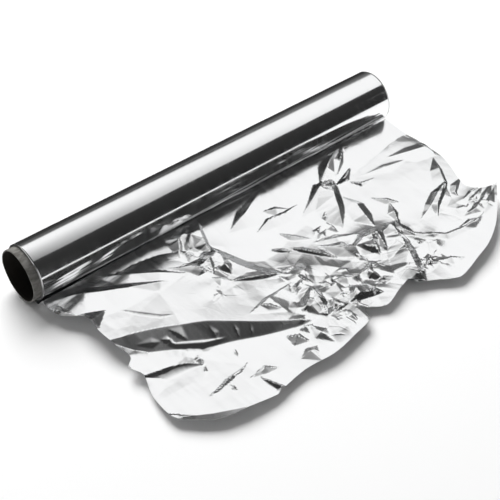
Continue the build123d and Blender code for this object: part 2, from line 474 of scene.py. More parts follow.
@dataclass
class FoilWinding:
    """The foil's turns round the core: a smooth mirror with faint dents, and turns that show at its
    ends."""

    half_width: float
    radius: float
    inner_radius: float
    shell: float = 0.1 * MM
    dent_height: float = 0.035 * MM
    dent_lengths: tuple[float, float] = (0.03, 0.16)
    dent_turns: tuple[int, int] = (0, 4)
    dent_rarity: float = 2.5
    dents: int = 14
    ripple_height: float = 0.06 * MM
    ripple_turns: tuple[int, int] = (24, 70)
    ripple_rarity: float = 1.5
    ripples: int = 6
    ripple_middle: float = np.radians(-104.0)
    ripple_spread: float = np.radians(15.0)
    ripple_drift: float = 3.0
    end_wave: float = 0.22 * MM
    end_rings: int = 10
    end_touch: float = 0.01 * MM
    end_rim: float = 0.02
    ring_waves: tuple[float, float] = (23.0, 9.0)
    ring_start: float = 1.0
    swirl: float = 0.4
    swirl_turns: int = 5
    swirl_twist: float = 6.0
    around: int = 320
    along: int = 260
    seed: int = 11

    def profile(self) -> Array:
        """Closed outline of the winding as (along the axis, from the axis).

        Returns:
            An array of (x, r) pairs: the outside from left to right, the right end inwards, the inside
            back to the left, and the left end outwards.
        """
        w = self.half_width
        run = np.linspace(-w, w, self.along)
        end = np.linspace(self.radius, self.inner_radius, self.end_rings)
        outside = np.stack([run, np.full_like(run, self.radius)], axis=1)
        right = np.stack([np.full_like(end, w), end], axis=1)[1:]
        inside = np.array([[x, self.inner_radius] for x in (w / 3, -w / 3)])
        left = np.stack([np.full_like(end, -w), end[::-1]], axis=1)[:-1]
        return np.concatenate([outside, right, inside, left])

    def build(self) -> Object:
        """Carry the outline round the axis, dent it and stagger the turns at the ends.

        A point is (x, r sin a, r cos a). The dents lower r by a sum of long waves of x and a, never
        above the winding's radius. Where the sheet leaves, ripples that run along the roll lower it too:
        a sum of short waves of a, less a drift times x, times a bell of a. At the ends, each ring of
        turns moves inwards by its own small share, which swirls a little with a.

        Returns:
            The new piece.
        """
        rng = np.random.default_rng(self.seed)
        angle, x, r = carry_round(self.profile(), self.around)
        outer = r > self.radius - self.shell
        dent, ripple = np.zeros_like(x), np.zeros_like(x)
        for length, turns, start in zip(rng.uniform(*self.dent_lengths, self.dents),
                                        rng.integers(*self.dent_turns, self.dents),
                                        rng.uniform(0, 2 * np.pi, self.dents)):
            dent += np.cos(2 * np.pi * x / length + turns * angle + start)
        dent = np.minimum((dent / dent.std() - self.dent_rarity) / self.dent_rarity, 0.0)
        for turns, start in zip(rng.integers(*self.ripple_turns, self.ripples),
                                rng.uniform(0, 2 * np.pi, self.ripples)):
            ripple += np.cos(turns * (angle - self.ripple_drift * x) + start)
        ripple = np.minimum(ripple / ripple.std() - self.ripple_rarity, 0.0)
        off_middle = (angle - self.ripple_middle + np.pi) % (2 * np.pi) - np.pi
        loose = np.exp(-((off_middle / self.ripple_spread) ** 2))
        r = np.where(outer, r + dent * self.dent_height, r)
        r = np.where(outer, r + ripple * loose * self.ripple_height, r)
        depth = (self.radius - r) / (self.radius - self.inner_radius)
        ring = np.sin(depth * self.ring_waves[0]) * np.sin(depth * self.ring_waves[1] + self.ring_start)
        ring = ring + self.swirl * np.sin(self.swirl_turns * angle + depth * self.swirl_twist)
        cut = (np.abs(np.abs(x) - self.half_width) < self.end_touch) & (depth > self.end_rim)
        x = x - np.sign(x) * np.where(cut, np.abs(ring) * self.end_wave, 0.0)
        piece = round_piece("foil_winding", angle, x, r)
        paint_points(piece, "cut_edge", cut)
        return piece

    def dress(self, piece: Object, foil: Material) -> None:
        """Give the winding its finish and let it stand for the CAD node's turns.

        Args:
            piece: The winding.
            foil: The foil material.
        """
        piece.data.materials.append(foil)
        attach(piece, BODY)
        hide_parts("foil")


# Crumpled foil

# Slope above which a side takes its fold's hollow, and the least height and area that count
STEEP = 0.3
TINY = 1e-6
# The box round a fold stands off its crest by this many times the fold's reach
BOX_MARGIN = 1.2
# A smooth crest with more corners than a plain one, and each edge, is a curve with this many points
# from one corner to the next
PLAIN_CREST = 3
CREST_STEPS = 4
EDGE_STEPS = 5


class Sides(Enum):
    """How a fold's sides are shaped."""

    FLAT = "flat facets with straight creases between them"
    ROUND = "smooth, with rounded ends"
    NEAR = "smooth, by the crest's nearest stretch"
    EVEN = "smooth, by the crest's height straight across"


@dataclass(frozen=True)
class Fold:
    """One fold, drawn from above in millimetres: a crest line with a height at each corner, and the
    slope of the side to its left and to its right. A hollow above 1 makes a steep side ease off."""

    crest: tuple[Place, ...]
    left: float
    right: float
    sides: Sides = Sides.FLAT
    hollow: float = 1.0

    @classmethod
    def drawn(cls, left: float, right: float, *crest: tuple[float, ...]) -> "Fold":
        """A fold with flat sides, whose crest lies on the sheet at a corner without a height."""
        return cls(tuple((*corner, 0)[:3] for corner in crest), left, right)

    def raised(self, gain: float) -> "Fold":
        """The same fold with its heights times a gain."""
        return replace(self, crest=tuple((x, y, height * gain) for x, y, height in self.crest))

    def facets(self) -> Array:
        """Flat facets of the fold: each crest corner has a foot on either side, square to the crest and
        as far off as its height over that side's slope, and each stretch of a side is two triangles.

        Returns:
            An array of triangles, each with three (x, y, height) corners.
        """
        line = np.array(self.crest, dtype=float)
        way = np.gradient(line[:, :2], axis=0)
        square = np.stack([-way[:, 1], way[:, 0]], axis=1) / np.hypot(*way.T)[:, None]
        found = []
        for slope in (self.left, -self.right):
            foot = np.column_stack([line[:, :2] + square * line[:, 2:] / slope, np.zeros(len(line))])
            found.append(np.stack([line[:-1], line[1:], foot[:-1]], axis=1))
            found.append(np.stack([line[1:], foot[1:], foot[:-1]], axis=1))
        return np.concatenate(found)

    def flat_lift(self, at: Array) -> Array:
        """Height of flat sides over each point: the highest of the facets that cover it, each on the
        plane through its three corners.

        Args:
            at: x and y of the points, in millimetres.

        Returns:
            Heights in millimetres.
        """
        x, y = at
        best = np.zeros_like(x)
        for (ax, ay, ah), (bx, by, bh), (cx, cy, ch) in self.facets():
            area = (bx - ax) * (cy - ay) - (by - ay) * (cx - ax)
            if abs(area) > TINY:
                u = ((x - ax) * (cy - ay) - (y - ay) * (cx - ax)) / area
                v = ((bx - ax) * (y - ay) - (by - ay) * (x - ax)) / area
                inside = (u >= 0) & (v >= 0) & (u + v <= 1)
                best = np.maximum(best, np.where(inside, ah + u * (bh - ah) + v * (ch - ah), 0.0))
        return best

    def smooth_lift(self, at: Array) -> Array:
        """Height of smooth sides over each point: the crest's height there, times a share that falls
        with the distance to the crest at that side's slope and is zero beyond the fold's foot. On a
        steep side the share is raised to the power of the hollow. Round sides take the highest of what
        each stretch of the crest gives with the height at its nearest point, near sides take the nearest
        stretch alone, and even sides take it with the crest's height straight across from the line
        between the crest's ends.

        Args:
            at: x and y of the points, in millimetres.

        Returns:
            Heights in millimetres.
        """
        x, y = at
        line = np.array(self.crest, dtype=float)
        if len(line) > PLAIN_CREST:
            line = smooth_line(line, CREST_STEPS)
        even, single = self.sides is Sides.EVEN, self.sides is not Sides.ROUND
        span = line[-1, :2] - line[0, :2]
        across = np.interp(x * span[0] + y * span[1], line[:, :2] @ span, line[:, 2])
        best, nearest = np.zeros_like(x), np.full_like(x, np.inf)
        for (ax, ay, ah), (bx, by, bh) in zip(line[:-1], line[1:]):
            dx, dy = bx - ax, by - ay
            along = np.clip(((x - ax) * dx + (y - ay) * dy) / (dx * dx + dy * dy), 0.0, 1.0)
            off_x, off_y = x - ax - along * dx, y - ay - along * dy
            slope = np.where(dx * off_y - dy * off_x > 0, self.left, self.right)
            curl = np.where(slope > STEEP, self.hollow, 1.0)
            height = np.maximum(across if even else ah + (bh - ah) * along, TINY)
            away = np.hypot(off_x, off_y)
            here = height * np.maximum(1.0 - slope * away / (curl * height), 0.0) ** curl
            best = np.where(away < nearest, here, best) if single else np.maximum(best, here)
            nearest = np.minimum(nearest, away)
        return best

    def lift(self, at: Array) -> Array:
        """Height of the fold over each point, worked out only in a box round the fold.

        Args:
            at: x and y of the points, in millimetres.

        Returns:
            Heights in millimetres.
        """
        (x, y), line = at, np.array(self.crest, dtype=float)
        reach = BOX_MARGIN * self.hollow * line[:, 2].max() / min(self.left, self.right)
        low, high = line[:, :2].min(axis=0) - reach, line[:, :2].max(axis=0) + reach
        near = (x > low[0]) & (x < high[0]) & (y > low[1]) & (y < high[1])
        total = np.zeros_like(x)
        total[near] = (self.flat_lift if self.sides is Sides.FLAT else self.smooth_lift)(at[:, near])
        return total


@dataclass(frozen=True)
class CrumplePatch:
    """A patch of small chance folds, drawn from above in millimetres."""

    centre: tuple[float, float]
    spread: tuple[float, float]
    count: int
    height: float
    reach: float = 1.6
    arm_lengths: tuple[float, float] = (2.0, 9.0)
    height_shares: tuple[float, float] = (0.3, 1.0)
    slopes: tuple[float, float] = (0.15, 0.8)
    bend: float = 0.35

    def folds(self, rng: np.random.Generator) -> list[Fold]:
        """Draw the patch's folds.

        Args:
            rng: Source of chance.

        Returns:
            Short folds with crests in all directions, most of them near the patch's centre.
        """
        drawn = []
        for _ in range(self.count):
            cx, cy = rng.normal(self.centre, self.spread)
            turn = rng.uniform(0, np.pi)
            ahead, behind = rng.uniform(*self.arm_lengths, 2)
            height = self.height * rng.uniform(*self.height_shares)
            left, right = rng.uniform(*self.slopes, 2)
            bend = turn + rng.normal(0, self.bend)
            crest = ((cx - behind * np.cos(turn), cy - behind * np.sin(turn), 0.0), (cx, cy, height),
                     (cx + ahead * np.cos(bend), cy + ahead * np.sin(bend), 0.0))
            drawn.append(Fold(crest, left, right))
        return drawn

    def weight(self, at: Array) -> Array:
        """How far each point belongs to the patch: 1 at its centre, falling off as a bell.

        Args:
            at: x and y of the points, in millimetres.

        Returns:
            Shares from 0 to 1.
        """
        across, down = ((place - middle) / (self.reach * spread)
                        for place, middle, spread in zip(at, self.centre, self.spread))
        return np.exp(-0.5 * (across ** 2 + down ** 2))


@dataclass(frozen=True)
class FacetField:
    """Flat three-sided facets with straight creases between them, as crushed foil has."""

    seed: int
    size: float
    height: float
    coarse: float = 2.3
    shift: float = 0.35
    knots: int = 64

    def planes(self, at: Array, size: float, rng: np.random.Generator) -> Array:
        """Chance relief on a lattice of even-sided triangles: each lattice corner has a chance height,
        and a point's height is on the plane through the three corners round it.

        Args:
            at: x and y of the points, in millimetres.
            size: Side of a lattice triangle, in millimetres.
            rng: Source of chance.

        Returns:
            Heights from -1 to 1.
        """
        corner = rng.uniform(-1.0, 1.0, (self.knots, self.knots))
        down = 2.0 * at[1] / (size * np.sqrt(3.0))
        across = at[0] / size - down / 2
        i, j = np.floor(across).astype(int), np.floor(down).astype(int)
        u, v = across - i, down - j
        near, far = u + v < 1.0, (i + 1) % self.knots
        i, j, below = i % self.knots, j % self.knots, (j + 1) % self.knots
        first = corner[i, j] * (1 - u - v) + corner[far, j] * u + corner[i, below] * v
        second = corner[far, below] * (u + v - 1) + corner[i, below] * (1 - u) + corner[far, j] * (1 - v)
        return np.where(near, first, second)

    def lift(self, at: Array) -> Array:
        """Relief of the facets: the lattice is turned, and shifted by a coarser lattice of the same
        kind, so that its triangles differ while their creases stay straight.

        Args:
            at: x and y of the points, in millimetres.

        Returns:
            Heights in millimetres, about as much above nothing as below it.
        """
        rng = np.random.default_rng(self.seed)
        turn = rng.uniform(0, np.pi)
        turned = np.stack([at[0] * np.cos(turn) - at[1] * np.sin(turn),
                           at[0] * np.sin(turn) + at[1] * np.cos(turn)])
        coarse = self.coarse * self.size
        moved = [place + self.shift * coarse * self.planes(turned, coarse, rng) for place in turned]
        return self.height * self.planes(np.stack(moved), self.size, rng)


# Outline of the sheet from above: each side from the roll to the front, and the front from left to right
LEFT_EDGE = ((-150, 1), (-150, -32), (-141, -46), (-140, -57), (-140, -74), (-137, -91), (-143, -98),
             (-139, -107), (-144, -123), (-145, -143), (-135, -155))
FRONT_EDGE = ((-135, -155), (-122, -163), (-91, -168), (-85, -167), (-63, -164), (-42, -166), (-22, -163),
              (-6, -159), (-3, -152), (5, -150), (13, -156), (30, -151), (42, -149), (48, -156), (60, -164),
              (68, -168), (88, -163), (102, -159), (116, -152), (130, -142), (153, -121))
RIGHT_EDGE = ((150, 1), (150, -12), (152, -37), (152, -51), (150, -70), (146, -83), (138, -100),
              (136, -108), (139, -117), (147, -121), (153, -121))

# Where the foil leaves the roll: place along the roll, height there and fall towards the table
LEAVING = ((-150, 6.4, 0.30), (-115, 7.6, 0.22), (-70, 8.5, 0.20), (-45, 8.5, 0.11), (-5, 8.5, 0.12),
           (25, 8.5, 0.17), (80, 8.5, 0.20), (110, 8.3, 0.20), (150, 7.5, 0.19))

# Broad rises along the rim
SWELLS = (
    Fold(((-150, -24, 1), (-147, -34, 2), (-141, -48, 3), (-140, -72, 3), (-138, -92, 3.5),
          (-144, -100, 4)), 0.06, 0.3, Sides.ROUND),
    Fold(((-143, -110, 2), (-141, -145, 6), (-110, -165, 7), (-88, -169, 5)), 0.10, 0.3, Sides.ROUND),
    Fold(((-85, -168, 5), (-63, -164, 5), (-42, -167, 6), (-20, -164, 6), (-5, -158, 4)),
         0.05, 0.3, Sides.ROUND),
    Fold(((2, -150, 3), (14, -156, 5), (30, -152, 6), (44, -150, 5)), 0.14, 0.3, Sides.ROUND),
    Fold(((60, -165, 4), (70, -169, 5), (102, -160, 7), (130, -142, 8), (153, -121, 8.5)),
         0.06, 0.3, Sides.ROUND),
    Fold(((153, -121, 8.5), (150, -75, 6), (152, -45, 3), (151, -20, 0)), 0.06, 0.3, Sides.ROUND),
)

# Steps at the left edge, in front of the big fold
LEDGES = (
    Fold(((-143, -107.5, 3.5), (-129.2, -109.8, 3.2), (-114.6, -113.5, 2.4), (-104, -121, 0)), 0.03, 0.85,
         Sides.NEAR, 2.2),
    Fold(((-142, -77, 7.6), (-139, -90, 5.5), (-144, -104, 3.8)), 0.2, 0.3, Sides.ROUND),
)

# Large folds, with the big one on the left first
PANEL_FOLDS = (
    Fold(((-139.6, -75.6, 8.2), (-125.2, -80.4, 9.2), (-112, -85.6, 9.5), (-98.8, -91.6, 9.3),
          (-85.2, -98.4, 8.1), (-72.9, -107.4, 6.2), (-59.8, -117.8, 4.6), (-49.4, -125.5, 3.3),
          (-39.8, -132.2, 2), (-33, -137, 0)), 0.05, 0.53, Sides.EVEN),
    Fold(((-140, -57, 4), (-126, -51, 0)), 0.25, 0.8, Sides.ROUND),
    Fold(((68, -104, 0), (63, -118, 3), (55, -133, 4), (48, -146, 4), (46, -154, 2)),
         0.7, 0.3, Sides.ROUND),
    Fold(((45, -82, 0), (56, -65, 3.2), (67, -48, 3), (80, -37, 0)), 0.22, 0.65, Sides.ROUND),
    Fold(((-31, -22, 0), (-38, -44, 2.4), (-37, -60, 2.6), (-32, -75, 2), (-21, -89, 1.2),
          (-13, -97, 0)), 0.27, 0.25, Sides.ROUND),
)

# Small folds: the slopes to the left and right of each, then the corners of its crest. A corner without
# a height lies on the sheet.
ROLL_SIDE_FOLDS = (
    (0.35, 0.12, (-146, -19), (-128, -31, 2.4), (-105, -43, 1.6), (-78, -55)),
    (0.5, 0.15, (-112, -18), (-95, -33, 1.6), (-80, -45, 2), (-66, -54)),
    (0.2, 0.6, (-60, -40), (-51, -27, 2), (-34, -19)),
    (0.3, 0.35, (-53, -38), (-42, -29, 2.2), (-31, -20)),
    (0.3, 0.8, (-41, -48), (-39, -40, 1.8), (-34, -28, 1.5), (-29, -20)),
    (0.25, 0.1, (-20, -40), (0, -33.5, 1.2), (24, -20)),
    (0.35, 0.2, (12, -37), (21, -41, 1), (31, -46)),
    (0.45, 0.2, (30, -56), (45, -50, 1), (60, -43, 2.2), (75, -40)),
    (0.4, 0.3, (60, -42), (76, -32, 2), (92, -22, 1), (102, -17)),
    (0.6, 0.5, (71, -46), (82, -45, 1.3), (94, -38)),
    (0.3, 0.5, (76, -42), (90, -31, 1), (106, -18)),
    (0.2, 0.1, (120, -47), (136, -54, 1.0), (151, -58, 1.0)),
    (0.14, 0.1, (93, -50), (112, -55, 0.5), (132, -59)),
    (0.5, 0.45, (81, -48), (86, -57, 1.0), (99, -58.5)),
)

LEFT_FOLDS = (
    (0.3, 0.3, (-122, -53), (-112, -68, 0.3), (-104, -78, 0.3), (-96, -82)),
    (0.6, 0.2, (-114, -95.5), (-104, -102, 0.8), (-94, -108, 0.9), (-81, -113)),
    (0.6, 0.4, (-103.5, -111), (-105, -116, 1), (-105.5, -121)),
    (0.9, 0.7, (-122, -144.5), (-112, -143.5, 0.8), (-103.5, -141, 1.2), (-93, -139.5, 0.9),
     (-83, -136.5)),
    (0.4, 0.4, (-105, -144.5), (-105, -148, 0.5), (-105, -152.5)),
    (0.5, 0.45, (-93, -148), (-80, -148, 1.3), (-73, -152.5)),
    (0.9, 0.7, (-87.5, -150.5), (-85.5, -158, 1.1), (-83, -167.5, 1.6)),
    (0.4, 0.4, (-83, -121), (-84.5, -125.5, 0.4), (-85.5, -130)),
    (0.3, 0.4, (-104.5, -121), (-108, -126, 0.4), (-112, -130.5)),
    (0.35, 0.15, (-60, -156), (-52, -156, 1.2), (-45, -155)),
)

DENTS = (
    (0.14, 0.14, (-130, -86), (-120.5, -90.5, 0.35), (-115, -93)),
    (0.26, 0.3, (-115.5, -91.5), (-112, -94, 0.5), (-108.5, -96.5)),
    (0.3, 0.3, (-113, -96), (-110.5, -96.5, 0.4), (-108, -99.5)),
    (0.12, 0.35, (-108, -89), (-104, -95, 0.5), (-101, -102)),
    (0.15, 0.35, (-86, -101), (-86, -107, 0.4), (-87.5, -113)),
    (0.2, 0.35, (-73, -109), (-74, -114, 0.25), (-76, -119)),
    (0.35, 0.35, (-65, -115), (-66.5, -119, 0.25), (-69, -122.5)),
)

CENTRE_FOLDS = (
    (0.3, 0.5, (-43, -73), (-42, -64, 1.8), (-37.5, -53)),
    (0.6, 0.3, (-45, -43), (-46, -50, 1.2), (-49, -58, 1.2), (-53, -66)),
    (0.6, 0.3, (-55, -38), (-54, -43, 1.2), (-48, -47)),
    (0.6, 0.3, (-72, -43), (-60, -52, 1.4), (-57, -59, 1.4), (-55, -62)),
    (0.6, 0.25, (-57, -68), (-53, -73, 1.3), (-47, -77)),
    (0.3, 0.95, (-49, -77), (-38, -82, 1.5), (-28, -87, 1.3), (-18, -92)),
    (0.45, 0.95, (-8, -67), (-2, -73, 1.2), (3, -79)),
    (0.45, 0.95, (4, -74), (8, -81, 1.4), (13, -90, 1.3), (18, -97, 0.7), (22, -103)),
    (0.6, 0.3, (17, -87), (18, -92, 1.2), (20, -98)),
    (0.55, 0.2, (-5, -51), (10, -46.5, 1.2), (24, -47.5, 1.2), (38, -45)),
    (0.5, 0.3, (7, -58), (14, -67, 1), (22, -77)),
    (0.3, 0.5, (22, -77), (29, -73, 0.8), (37, -70)),
    (0.3, 0.5, (23, -80), (30, -78, 0.8), (37, -75)),
    (0.4, 0.2, (20, -80), (34, -88, 1.8), (48, -95)),
    (0.5, 0.3, (20, -85), (29, -96, 2.2), (35, -104, 2), (45, -101, 1.4), (55, -97)),
    (0.3, 0.6, (39.5, -84), (40, -76, 0.9), (40.5, -69)),
    (0.3, 0.5, (41, -69), (44, -66, 0.7), (48, -61)),
    (0.6, 0.15, (-60, -109), (-42, -106.5, 1.9), (-19, -102.5)),
    (0.4, 0.3, (-51, -106), (-46, -112, 0.8), (-40, -119)),
    (0.3, 0.6, (-25, -113), (-20, -109.5, 1.2), (-12, -104.5)),
    (0.8, 0.25, (-17, -105), (-15, -116, 2.6), (-20, -131, 2.8), (-25, -142)),
    (0.3, 0.6, (-34, -129), (-24, -124, 1.6), (-14, -115)),
    (0.7, 0.3, (-14, -131), (-12, -136, 1.6), (-10, -141)),
    (0.6, 0.4, (-7, -113), (-4, -118, 1), (-2.5, -123)),
    (0.4, 0.6, (-2, -123), (1.5, -115, 1), (4, -108)),
    (0.5, 0.2, (2, -118), (9, -123, 1.8), (18, -126)),
    (0.7, 0.22, (0, -127), (7, -134, 3), (13, -140)),
    (0.3, 0.45, (14, -133), (24, -127.5, 1.4), (34, -120)),
    (0.6, 0.3, (26, -122), (26, -130, 1.3), (27, -138)),
    (0.25, 0.9, (-6, -140.5), (4, -140.5, 2.2), (12, -142, 2.2), (19, -147)),
    (0.3, 0.8, (-24, -141), (-14, -141, 1.2), (-4, -140.5)),
    (0.6, 0.3, (24, -135), (28, -138, 1.2), (33, -141)),
    (0.6, 0.35, (-54, -136), (-50, -142, 1.9), (-46, -149)),
    (0.6, 0.25, (-45, -137), (-40, -139, 1.1), (-35, -140.5)),
    (0.3, 0.3, (-37, -139), (-37, -149, 1.3), (-35, -160)),
    (0.6, 0.4, (-12.5, -146), (-13, -151, 0.9), (-13.5, -157)),
)

RIGHT_FOLDS = (
    (0.4, 0.25, (67, -58), (67, -72, 1.8), (63, -84, 1.8), (60, -97)),
    (0.5, 0.30, (79, -72), (86, -82, 1.0), (91, -90)),
    (0.7, 0.4, (86, -84), (80, -95, 1.5), (75, -104)),
    (0.7, 0.25, (52, -97), (47, -108, 2.4), (43, -120)),
    (0.6, 0.3, (57, -92), (54, -105, 2.2), (49, -121)),
    (0.6, 0.4, (40, -106), (43, -113, 1), (44, -118)),
    (0.5, 0.4, (31, -107), (32, -113, 0.8), (33, -119)),
    (0.6, 0.25, (56, -106), (67, -104, 2.2), (78, -102)),
    (0.4, 0.3, (74, -101), (71, -113, 1.6), (74, -122)),
    (0.9, 0.32, (144, -70), (136, -83, 1.6), (127, -96, 2), (121, -101, 1.6), (106, -110, 1.2),
     (97, -119)),
    (0.15, 0.3, (128, -97), (116, -101, 1.2), (103, -107.5, 1.2), (88, -112)),
    (0.6, 0.3, (140, -100), (131, -104, 1), (125, -108, 0.8), (123.5, -113)),
    (0.4, 0.3, (122, -118), (132, -117, 0.8), (142, -116)),
    (0.4, 0.3, (116, -126), (128, -122.5, 1), (142, -118)),
    (0.4, 0.3, (110, -129), (121, -131, 1), (136, -126, 1), (150, -119)),
    (0.4, 0.3, (118, -139), (132, -133, 0.9), (147, -124)),
    (0.5, 0.25, (99, -135), (110, -137, 1.3), (119, -139.5)),
    (0.6, 0.25, (71, -112), (77, -124.5, 0.9), (89, -135, 1), (111, -139.5, 0.7), (123, -137)),
    (0.6, 0.25, (63, -149), (74, -153, 1.2), (82, -158)),
)

SMALL_FOLDS = tuple(Fold.drawn(*row) for row in
                    ROLL_SIDE_FOLDS + LEFT_FOLDS + DENTS + CENTRE_FOLDS + RIGHT_FOLDS)

PATCHES = (
    CrumplePatch((-48, -54), (7, 8), 4, 0.8),
    CrumplePatch((-60, -78), (5, 4), 3, 0.7),
    CrumplePatch((-13, -99), (7, 7), 4, 0.8),
    CrumplePatch((-20, -136), (9, 6), 5, 0.9),
    CrumplePatch((14, -130), (16, 9), 6, 0.9),
    CrumplePatch((45, -112), (10, 10), 4, 0.8),
    CrumplePatch((56, -145), (5, 6), 8, 1.0),
    CrumplePatch((69, -137), (6, 7), 6, 1.0),
    CrumplePatch((130, -126), (12, 6), 5, 0.6),
    CrumplePatch((-25, -150), (10, 5), 4, 0.8),
)


@dataclass
class FoilSheet:
    """The pulled-out length: one thin sheet that leaves the roll flat and then lies in folds."""

    floor: float
    gauge: float = 0.06 * MM
    flat_width: float = 0.300
    flat_length: float = 0.176
    fold_gain: float = 1.25
    leaves_at: float = -16.2
    roll_side: float = 1.25
    easing: float = 12.0
    smooth_share: float = 0.10
    facets: tuple[FacetField, ...] = (FacetField(3, 26.0, 1.4), FacetField(4, 11.0, 1.1))
    base: float = 2.0
    buckle: float = 0.08
    buckles: int = 24
    buckle_lengths: tuple[float, float] = (35, 110)
    crease_angle: float = np.radians(9.0)
    tail_share: float = 0.075
    tail_rows: int = 5
    rows: int = 228
    columns: int = 393
    under_step: int = 4
    seed: int = 5
    folds: list[Fold] = field(init=False)

    def __post_init__(self) -> None:
        """Gather the folds that are drawn and those left to chance."""
        rng = np.random.default_rng(self.seed)
        self.folds = [fold.raised(self.fold_gain) for fold in SMALL_FOLDS]
        for patch in PATCHES:
            self.folds += patch.folds(rng)

    @staticmethod
    def edge_line(corners: tuple[tuple[float, float], ...], share: Array) -> Array:
        """Points along a line of corners at the given shares of its length.

        Args:
            corners: Corners in millimetres.
            share: Shares from 0 to 1.

        Returns:
            One (x, y) row per share.
        """
        line = smooth_line(np.array(corners, dtype=float), EDGE_STEPS)
        length = np.concatenate([[0.0], np.cumsum(np.hypot(*np.diff(line, axis=0).T))])
        return np.stack([np.interp(share * length[-1], length, place) for place in line.T], axis=1)

    def plan(self) -> Array:
        """Grid of points that fills the sheet's outline seen from above.

        Each point is its place between the left and right edges plus its place between the back and
        front edges, less its place between the four corners.

        Returns:
            x and y in millimetres, each with one row per step away from the roll.
        """
        u = np.linspace(0.0, 1.0, self.columns)
        v = np.concatenate([np.linspace(0.0, self.tail_share, self.tail_rows, endpoint=False),
                            np.linspace(self.tail_share, 1.0, self.rows)])
        left, right = self.edge_line(LEFT_EDGE, v), self.edge_line(RIGHT_EDGE, v)
        back, front = self.edge_line((LEFT_EDGE[0], RIGHT_EDGE[0]), u), self.edge_line(FRONT_EDGE, u)
        across, down = u[None, :, None], v[:, None, None]
        sides = (1 - across) * left[:, None] + across * right[:, None]
        ends = (1 - down) * back[None] + down * front[None]
        corner = ((1 - down) * ((1 - across) * back[0] + across * back[-1])
                  + down * ((1 - across) * front[0] + across * front[-1]))
        return (sides + ends - corner).transpose(2, 0, 1)

    def crushed(self, at: Array) -> Array:
        """How crushed the sheet is at each point: a small share everywhere, plus the sum of the patches.

        Args:
            at: x and y of the points, in millimetres.

        Returns:
            Shares from 0 to 1.
        """
        return np.clip(self.smooth_share + sum(patch.weight(at) for patch in PATCHES), 0.0, 1.0)

    def buckling(self, at: Array) -> Array:
        """Long soft buckles: a sum of waves in chance directions, longer ones higher.

        Args:
            at: x and y of the points, in millimetres.

        Returns:
            Heights in millimetres.
        """
        x, y = at
        rng = np.random.default_rng(self.seed + 1)
        waves = np.zeros_like(x)
        for turn, length, start in zip(rng.uniform(0, np.pi, self.buckles),
                                       rng.uniform(*self.buckle_lengths, self.buckles),
                                       rng.uniform(0, 2 * np.pi, self.buckles)):
            across = x * np.cos(turn) + y * np.sin(turn)
            waves += length * np.cos(2 * np.pi / length * across + start)
        return self.buckle * waves / waves.std()

    def lift(self, at: Array) -> Array:
        """Height of the sheet's underside over the table.

        The curl that leaves the roll has a height where it touches the roll and falls from there on both
        sides, at a slope that changes along the roll. The broad shape is the highest swell, plus the sum
        of the large folds or the highest ledge where that is more, plus a base where it is crushed. The
        sheet is the curl alone under the roll and the higher of the two in front of it, plus the small
        folds, the crushed facets and the buckles, which are eased in from there.

        Args:
            at: x and y of the points, in millimetres.

        Returns:
            Heights in millimetres.
        """
        along, height, fall = np.array(LEAVING).T
        past = self.leaves_at - at[1]
        drop = np.where(past > 0, past * np.interp(at[0], along, fall), -past * self.roll_side)
        leaving = np.maximum(np.interp(at[0], along, height) - drop, 0.0)
        swell, ledge = (np.max([fold.lift(at) for fold in folds], axis=0) for folds in (SWELLS, LEDGES))
        swell += np.maximum(sum(fold.lift(at) for fold in PANEL_FOLDS), ledge)
        crushed = self.crushed(at)
        total = sum(fold.lift(at) for fold in self.folds)
        total += crushed * sum(facets.lift(at) for facets in self.facets) + self.buckling(at)
        broad = np.where(past > 0, np.maximum(leaving, swell + self.base * crushed), leaving)
        return np.maximum(broad + total * ease(past / self.easing), 0.0)

    def underside(self, at: Array, low: Array) -> tuple[Array, list[list[int]]]:
        """Make the sheet's underside, which nobody sees, with fewer faces than its upper side.

        It has the sheet's own rim, and inside it a coarse grid whose corners lie as low as the lowest
        point of the cells round them, so that it never comes through the upper side.

        Args:
            at: x and y of the points, in millimetres.
            low: Heights of the sheet in metres.

        Returns:
            The points inside the rim, and the faces, numbered from the rim's first point.
        """
        step = self.under_step
        for axis in (0, 1):
            room = [(step, step) if axis == way else (0, 0) for way in (0, 1)]
            padded = np.pad(low, room, mode="edge")
            low = np.lib.stride_tricks.sliding_window_view(padded, 2 * step + 1, axis).min(-1)
        points = np.stack([*(at * MM), low], axis=-1)[step:-step:step, step:-step:step]
        rows, columns = points.shape[:2]
        first = 2 * (sum(at.shape[1:]) - 2)
        inner = first + np.arange(rows * columns).reshape(rows, columns)
        held = grid_ring(np.pad(inner, 1, mode="edge"))
        edge = np.arange(first).reshape(-1, step)
        after = np.roll(edge[:, 0], -1)
        strip = [list(dict.fromkeys(face)) for face in
                 np.column_stack([edge, after, np.roll(held, -1), held]).tolist()]
        return points.reshape(-1, 3), strip + (first + grid_faces(rows, columns, Wrap.NONE)).tolist()

    def build(self) -> Object:
        """Make the closed thin sheet: a fine upper side, a thin cut edge and a coarse underside.

        Returns:
            The new piece.
        """
        at = self.plan()
        shape, size = at.shape[1:], at[0].size
        low = self.floor + self.lift(at) * MM
        upper = np.stack([*(at * MM), low + self.gauge], axis=-1).reshape(-1, 3)
        rim = grid_ring(np.arange(size).reshape(shape))
        lower = upper[rim] - np.array([0.0, 0.0, self.gauge])
        inner, under = self.underside(at, low)
        over = grid_faces(*shape, Wrap.NONE)[:, ::-1]
        below = size + np.arange(len(rim))
        side = np.stack([below, rim, np.roll(rim, -1), np.roll(below, -1)], axis=1)
        under = [[size + corner for corner in face] for face in under]
        piece = new_piece("foil_sheet", np.concatenate([upper, lower, inner]),
                          over.tolist() + side.tolist() + under)
        piece.data.set_sharp_from_angle(angle=self.crease_angle)
        creased = np.where(at[1] < self.leaves_at, self.crushed(at), 0.0).ravel()
        paint_points(piece, "creased", np.pad(creased, (0, len(lower) + len(inner))))
        return piece

